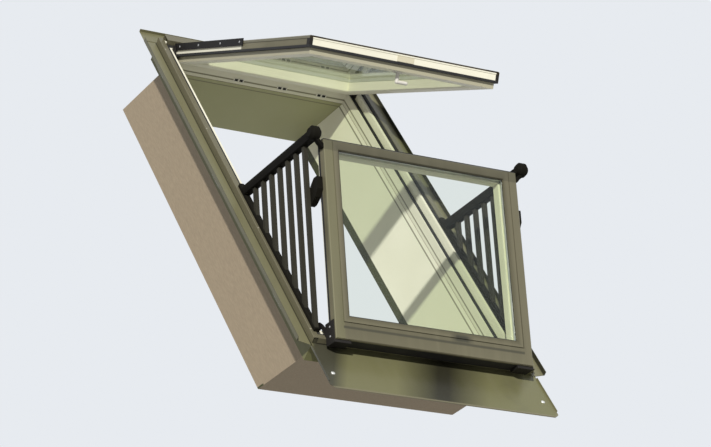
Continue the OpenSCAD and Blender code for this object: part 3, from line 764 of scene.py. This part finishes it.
class WINDOW_OT_hinges(bpy.types.Operator):
    """Coats the hinges and adds their rivets"""

    bl_idname = "roof_window.hinges"
    bl_label = "Hinges"

    def execute(self, context):
        c = context.scene.window_colours
        s = context.scene.window_sizes
        black = powder_coat("hinge_black", c.hinge, (0.035, 0.033, 0.030), 0.48, 0.60, 0.12)
        dress(black, "upper_corner_caps")
        for sash in ("upper", "lower"):
            dress(black, sash + "_hinge_left", sash + "_hinge_right")
        steel = bare_metal("rivet_steel", (0.42, 0.42, 0.42), 0.28, 0.0)
        hinge_face = SASH_HALF + HINGE_PLATE
        # Rivets of each hinge: where along the sash, and at which height in it
        rows = (
            ("canopy_rivets_", place_on_canopy(), (0.735, 0.95, 1.20, 1.42), SASH_DEPTH),
            ("shoe_rivets_", place_on_balustrade(), (0.020, 0.065), SASH_DEPTH / 2),
        )
        for hand, side in (("left", -1), ("right", 1)):
            for name, place, places, height in rows:
                rivets = bmesh.new()
                for along in places:
                    point = place @ Vector((side * hinge_face, along, height))
                    add_screw(rivets, point, (side, 0, 0), s.rivet)
                piece(name + hand, rivets, steel)
        return {"FINISHED"}


class WINDOW_OT_handle(bpy.types.Operator):
    """Coats the lever of the upper sash"""

    bl_idname = "roof_window.handle"
    bl_label = "Handle"

    def execute(self, context):
        c = context.scene.window_colours
        dress(powder_coat("handle_light", c.handle, (0.74, 0.73, 0.70), 0.26, 0.38), "upper_handle")
        dress(powder_coat("lock_plate_tan", c.lock_plate, c.timber, 0.34, 0.46), "upper_lock_plate")
        return {"FINISHED"}


class WINDOW_OT_flashing(bpy.types.Operator):
    """Coats the flashing and marks it with water stains"""

    bl_idname = "roof_window.flashing"
    bl_label = "Flashing"

    def execute(self, context):
        c = context.scene.window_colours
        paints = (c.flashing, c.cover_worn, c.flashing_stain_and_shade)
        # The middle mark is a painted shadow across the apron; the left one is a water stain
        middle_shadow = (0.090, 0.027, 0.24, c.apron_shadow)
        left_stain = (-0.515, 0.048, 0.12, c.flashing_stain_and_shade)
        apron_foot = -0.2875
        # Lines of dirt and painted shade where the sheet meets the cover and where it folds
        folds = (FRAME_HALF + 0.009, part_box("flashing_side_right")[1][0] - 0.004)
        dress(
            coated_sheet(
                "flashing_sheet_across", ROOF_PITCH, Y, *paints,
                marks=(middle_shadow, left_stain), hem=apron_foot + 0.0065,
            ),
            "flashing_apron", "flashing_head",
        )
        dress(
            coated_sheet("flashing_sheet_sides", ROOF_PITCH, Y, *paints, seams_and_shade_lines=folds),
            "flashing_side_left", "flashing_side_right",
        )
        roof, out = roof_and_out()
        nails = bmesh.new()
        nail_x, nail_v, sheet_top, nail_head = 0.541, -0.217, 0.006, 0.020
        for side in (-1, 1):
            point = roof @ Vector((side * nail_x, nail_v, sheet_top))
            add_screw(nails, point, out, nail_head, socket=False)
        zinc = bare_metal("nail_zinc", (0.78, 0.78, 0.74), 0.40, 0.2)
        piece("apron_nails", nails, zinc)
        return {"FINISHED"}


class WINDOW_OT_lining(bpy.types.Operator):
    """Paints the boards of the reveal"""

    bl_idname = "roof_window.lining"
    bl_label = "Lining"

    def execute(self, context):
        c = context.scene.window_colours
        outward = {"left": (-1, 0, 0), "right": (1, 0, 0), "head": (0, 0, 1), "sill": (0, 0, -1)}
        strip = LINING_END + 0.050
        for where, direction in outward.items():
            # The head board takes the darker painted-shade colour; the side and sill boards keep
            # the plain lining paint
            paint, end_w = (c.lining_head_shade, None) if where == "head" else (c.lining, strip)
            material = lining_paint("lining_paint_" + where, c, paint, end_w, direction)
            dress(material, "lining_" + where)
        return {"FINISHED"}


class WINDOW_OT_strikes(bpy.types.Operator):
    """Puts the small strike plates with their dark slots on the inner face of the frame's head"""

    bl_idname = "roof_window.strikes"
    bl_label = "Strike plates"

    def execute(self, context):
        c = context.scene.window_colours
        s = context.scene.window_sizes
        half = s.strike_length / 2
        slot_half, slot_share = 0.009, 0.46
        roof = place_on_roof()
        plates = bmesh.new()
        slots = bmesh.new()

        def lay(shape, middle, half_length, rise, sink, reach, bevel):
            """A plate on the head's inner face, centred at this place across."""
            face, deep = OPENING_HIGH - STOP_WIDTH, -0.065
            low = (middle - half_length, face - rise, deep - reach)
            high = (middle + half_length, face - sink, deep + reach)
            add_bar(shape, low, high, roof, bevel)

        for across in (-0.11, 0.14, 0.37):
            lay(plates, across, half, 0.0018, 0.0, 0.011, 0.0006)
            for end in (-1, 1):
                middle = across + end * half * slot_share
                lay(slots, middle, slot_half, 0.0026, 0.0014, 0.0065, 0.0003)
        pale = powder_coat("strike_plate_pale", c.handle, c.timber, 0.30, 0.42)
        piece("strike_plates", plates, pale)
        piece("strike_slots", slots, rubber("strike_slot_dark", c.seal))
        return {"FINISHED"}


class WINDOW_OT_brackets(bpy.types.Operator):
    """Finishes the batten brackets and puts screws in their holes"""

    bl_idname = "roof_window.brackets"
    bl_label = "Brackets and screws"

    def execute(self, context):
        c = context.scene.window_colours
        s = context.scene.window_sizes
        dress(bare_metal("bracket_zinc", tuple(c.zinc), 0.34, 0.7), "bracket_sill", "brackets_side")
        steel = bare_metal("screw_steel", (0.60, 0.60, 0.58), 0.24, 0.0)
        roof, out = roof_and_out()
        sheet_top, hole_off, side_length = 0.003, 0.0385, 0.120
        sill_length = 2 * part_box("bracket_sill")[1][0]

        def spread(count, long):
            """Places of this many holes, even over a bracket's length."""
            return [long * ((i + 0.5) / count - 0.5) for i in range(count)]

        places = [(x, -hole_off) for x in spread(5, sill_length)]
        for side in (-1, 1):
            for share in (0.12, 0.5, 0.88):
                middle = FRAME_LENGTH * share
                across = side * (FRAME_HALF + hole_off)
                places += [(across, middle + v) for v in spread(3, side_length)]
        screws = bmesh.new()
        for x, v in places:
            add_screw(screws, roof @ Vector((x, v, sheet_top)), out, s.bracket_screw)
        piece("bracket_screws", screws, steel)
        return {"FINISHED"}


class WINDOW_OT_cover_screws(bpy.types.Operator):
    """Puts the small screws on the frame covers"""

    bl_idname = "roof_window.cover_screws"
    bl_label = "Cover screws"

    def execute(self, context):
        c = context.scene.window_colours
        s = context.scene.window_sizes
        roof, out = roof_and_out()
        screw_line, cover_top = FRAME_HALF - 0.002, 0.040
        steel = powder_coat("cover_screw_paint", c.cover_worn, (0.42, 0.40, 0.34), 0.30, 0.44)
        screws = bmesh.new()
        for side in (-1, 1):
            for v in (0.06, 0.85, 1.70, 2.44):
                point = roof @ Vector((side * screw_line, v, cover_top))
                add_screw(screws, point, out, s.screw_head)
        piece("cover_screws", screws, steel)
        return {"FINISHED"}


class WINDOW_OT_stage(bpy.types.Operator):
    """Sets the floor, the light and the camera"""

    bl_idname = "roof_window.stage"
    bl_label = "Floor, light and camera"

    def execute(self, context):
        scene = context.scene
        st = scene.window_stage
        c = scene.window_colours
        scene.view_settings.view_transform = "Standard"

        ground = bmesh.new()
        bmesh.ops.create_grid(ground, x_segments=8, y_segments=8, size=45.0)
        mesh = bpy.data.meshes.new("studio_floor")
        ground.to_mesh(mesh)
        ground.free()
        f = Finish("floor_paint")
        cloud = f.noise(0.5, 2.0)
        tone = f.blend(f.span(cloud, 0.3, 0.7, 0.0, 0.3), c.floor, tuple(v * 0.94 for v in c.floor))
        mesh.materials.append(f.finish(tone, 0.9, specular=0.2))
        floor = bpy.data.objects.new("studio_floor", mesh)
        floor.location = (0, 0, st.floor_height)
        scene.collection.objects.link(floor)

        world = bpy.data.worlds.new("studio_sky")
        scene.world = world
        world.use_nodes = True
        tree = world.node_tree
        tree.nodes.clear()
        out = tree.nodes.new("ShaderNodeOutputWorld")
        light = tree.nodes.new("ShaderNodeBackground")
        light.inputs["Color"].default_value = (1.0, 1.0, 1.0, 1.0)
        light.inputs["Strength"].default_value = st.sky_strength
        seen = tree.nodes.new("ShaderNodeBackground")
        seen.inputs["Color"].default_value = (*c.backdrop, 1.0)
        path = tree.nodes.new("ShaderNodeLightPath")
        shown = path.outputs["Is Camera Ray"]
        for ray in ("Is Glossy Ray", "Is Transmission Ray"):
            either = tree.nodes.new("ShaderNodeMath")
            either.operation = "MAXIMUM"
            tree.links.new(shown, either.inputs[0])
            tree.links.new(path.outputs[ray], either.inputs[1])
            shown = either.outputs[0]
        mix = tree.nodes.new("ShaderNodeMixShader")
        tree.links.new(shown, mix.inputs[0])
        tree.links.new(light.outputs[0], mix.inputs[1])
        tree.links.new(seen.outputs[0], mix.inputs[2])
        tree.links.new(mix.outputs[0], out.inputs["Surface"])

        sun_data = bpy.data.lights.new("low_sun", "SUN")
        sun_data.energy = st.sun_strength
        sun_data.angle = st.sun_size
        sun_data.color = (1.0, 0.975, 0.93)
        sun = bpy.data.objects.new("low_sun", sun_data)
        sun.rotation_mode = "QUATERNION"
        sun.rotation_quaternion = Vector(st.sun_from).to_track_quat("Z", "Y")
        scene.collection.objects.link(sun)

        cam_data = bpy.data.cameras.new("photo_camera")
        cam_data.sensor_width = 36.0
        cam_data.lens = st.camera_lens
        cam_data.clip_end = 200.0
        cam = bpy.data.objects.new("photo_camera", cam_data)
        cam.location = st.camera_place
        cam.rotation_mode = "QUATERNION"
        look = Vector(st.camera_target) - Vector(st.camera_place)
        roll = Quaternion((0, 0, 1), st.camera_roll)
        cam.rotation_quaternion = look.to_track_quat("-Z", "Y") @ roll
        scene.collection.objects.link(cam)
        scene.camera = cam
        return {"FINISHED"}


OPERATORS = (
    WINDOW_OT_timber,
    WINDOW_OT_covers,
    WINDOW_OT_seals,
    WINDOW_OT_glass,
    WINDOW_OT_railings,
    WINDOW_OT_hinges,
    WINDOW_OT_handle,
    WINDOW_OT_flashing,
    WINDOW_OT_lining,
    WINDOW_OT_strikes,
    WINDOW_OT_brackets,
    WINDOW_OT_cover_screws,
    WINDOW_OT_stage,
)


class WINDOW_PT_panel(bpy.types.Panel):
    """Lists the finishes and fittings of the window"""

    bl_idname = "WINDOW_PT_panel"
    bl_label = "Roof balcony window"
    bl_space_type = "VIEW_3D"
    bl_region_type = "UI"
    bl_category = "Window"

    def draw(self, context):
        for operator in OPERATORS:
            self.layout.operator(operator.bl_idname)
        for group in ("window_colours", "window_sizes", "window_stage"):
            values = getattr(context.scene, group)
            box = self.layout.box()
            for key in values.bl_rna.properties.keys():
                if key not in {"rna_type", "name"}:
                    box.prop(values, key)


GROUPS = (WindowColours, WindowSizes, WindowStage)


def register():
    for group in GROUPS:
        bpy.utils.register_class(group)
    bpy.types.Scene.window_colours = PointerProperty(type=WindowColours)
    bpy.types.Scene.window_sizes = PointerProperty(type=WindowSizes)
    bpy.types.Scene.window_stage = PointerProperty(type=WindowStage)
    for cls in OPERATORS + (WINDOW_PT_panel,):
        bpy.utils.register_class(cls)


def unregister():
    for cls in reversed(OPERATORS + (WINDOW_PT_panel,)):
        bpy.utils.unregister_class(cls)
    del bpy.types.Scene.window_stage
    del bpy.types.Scene.window_sizes
    del bpy.types.Scene.window_colours
    for group in reversed(GROUPS):
        bpy.utils.unregister_class(group)


def main():
    register()
    steps = bpy.ops.roof_window
    for step in (
        steps.timber, steps.covers, steps.seals, steps.glass, steps.railings, steps.hinges,
        steps.handle, steps.flashing, steps.lining, steps.strikes, steps.brackets,
        steps.cover_screws, steps.stage,
    ):
        if step() != {"FINISHED"}:
            raise RuntimeError("a step of the window did not finish")


if __name__ == "__main__":
    main()
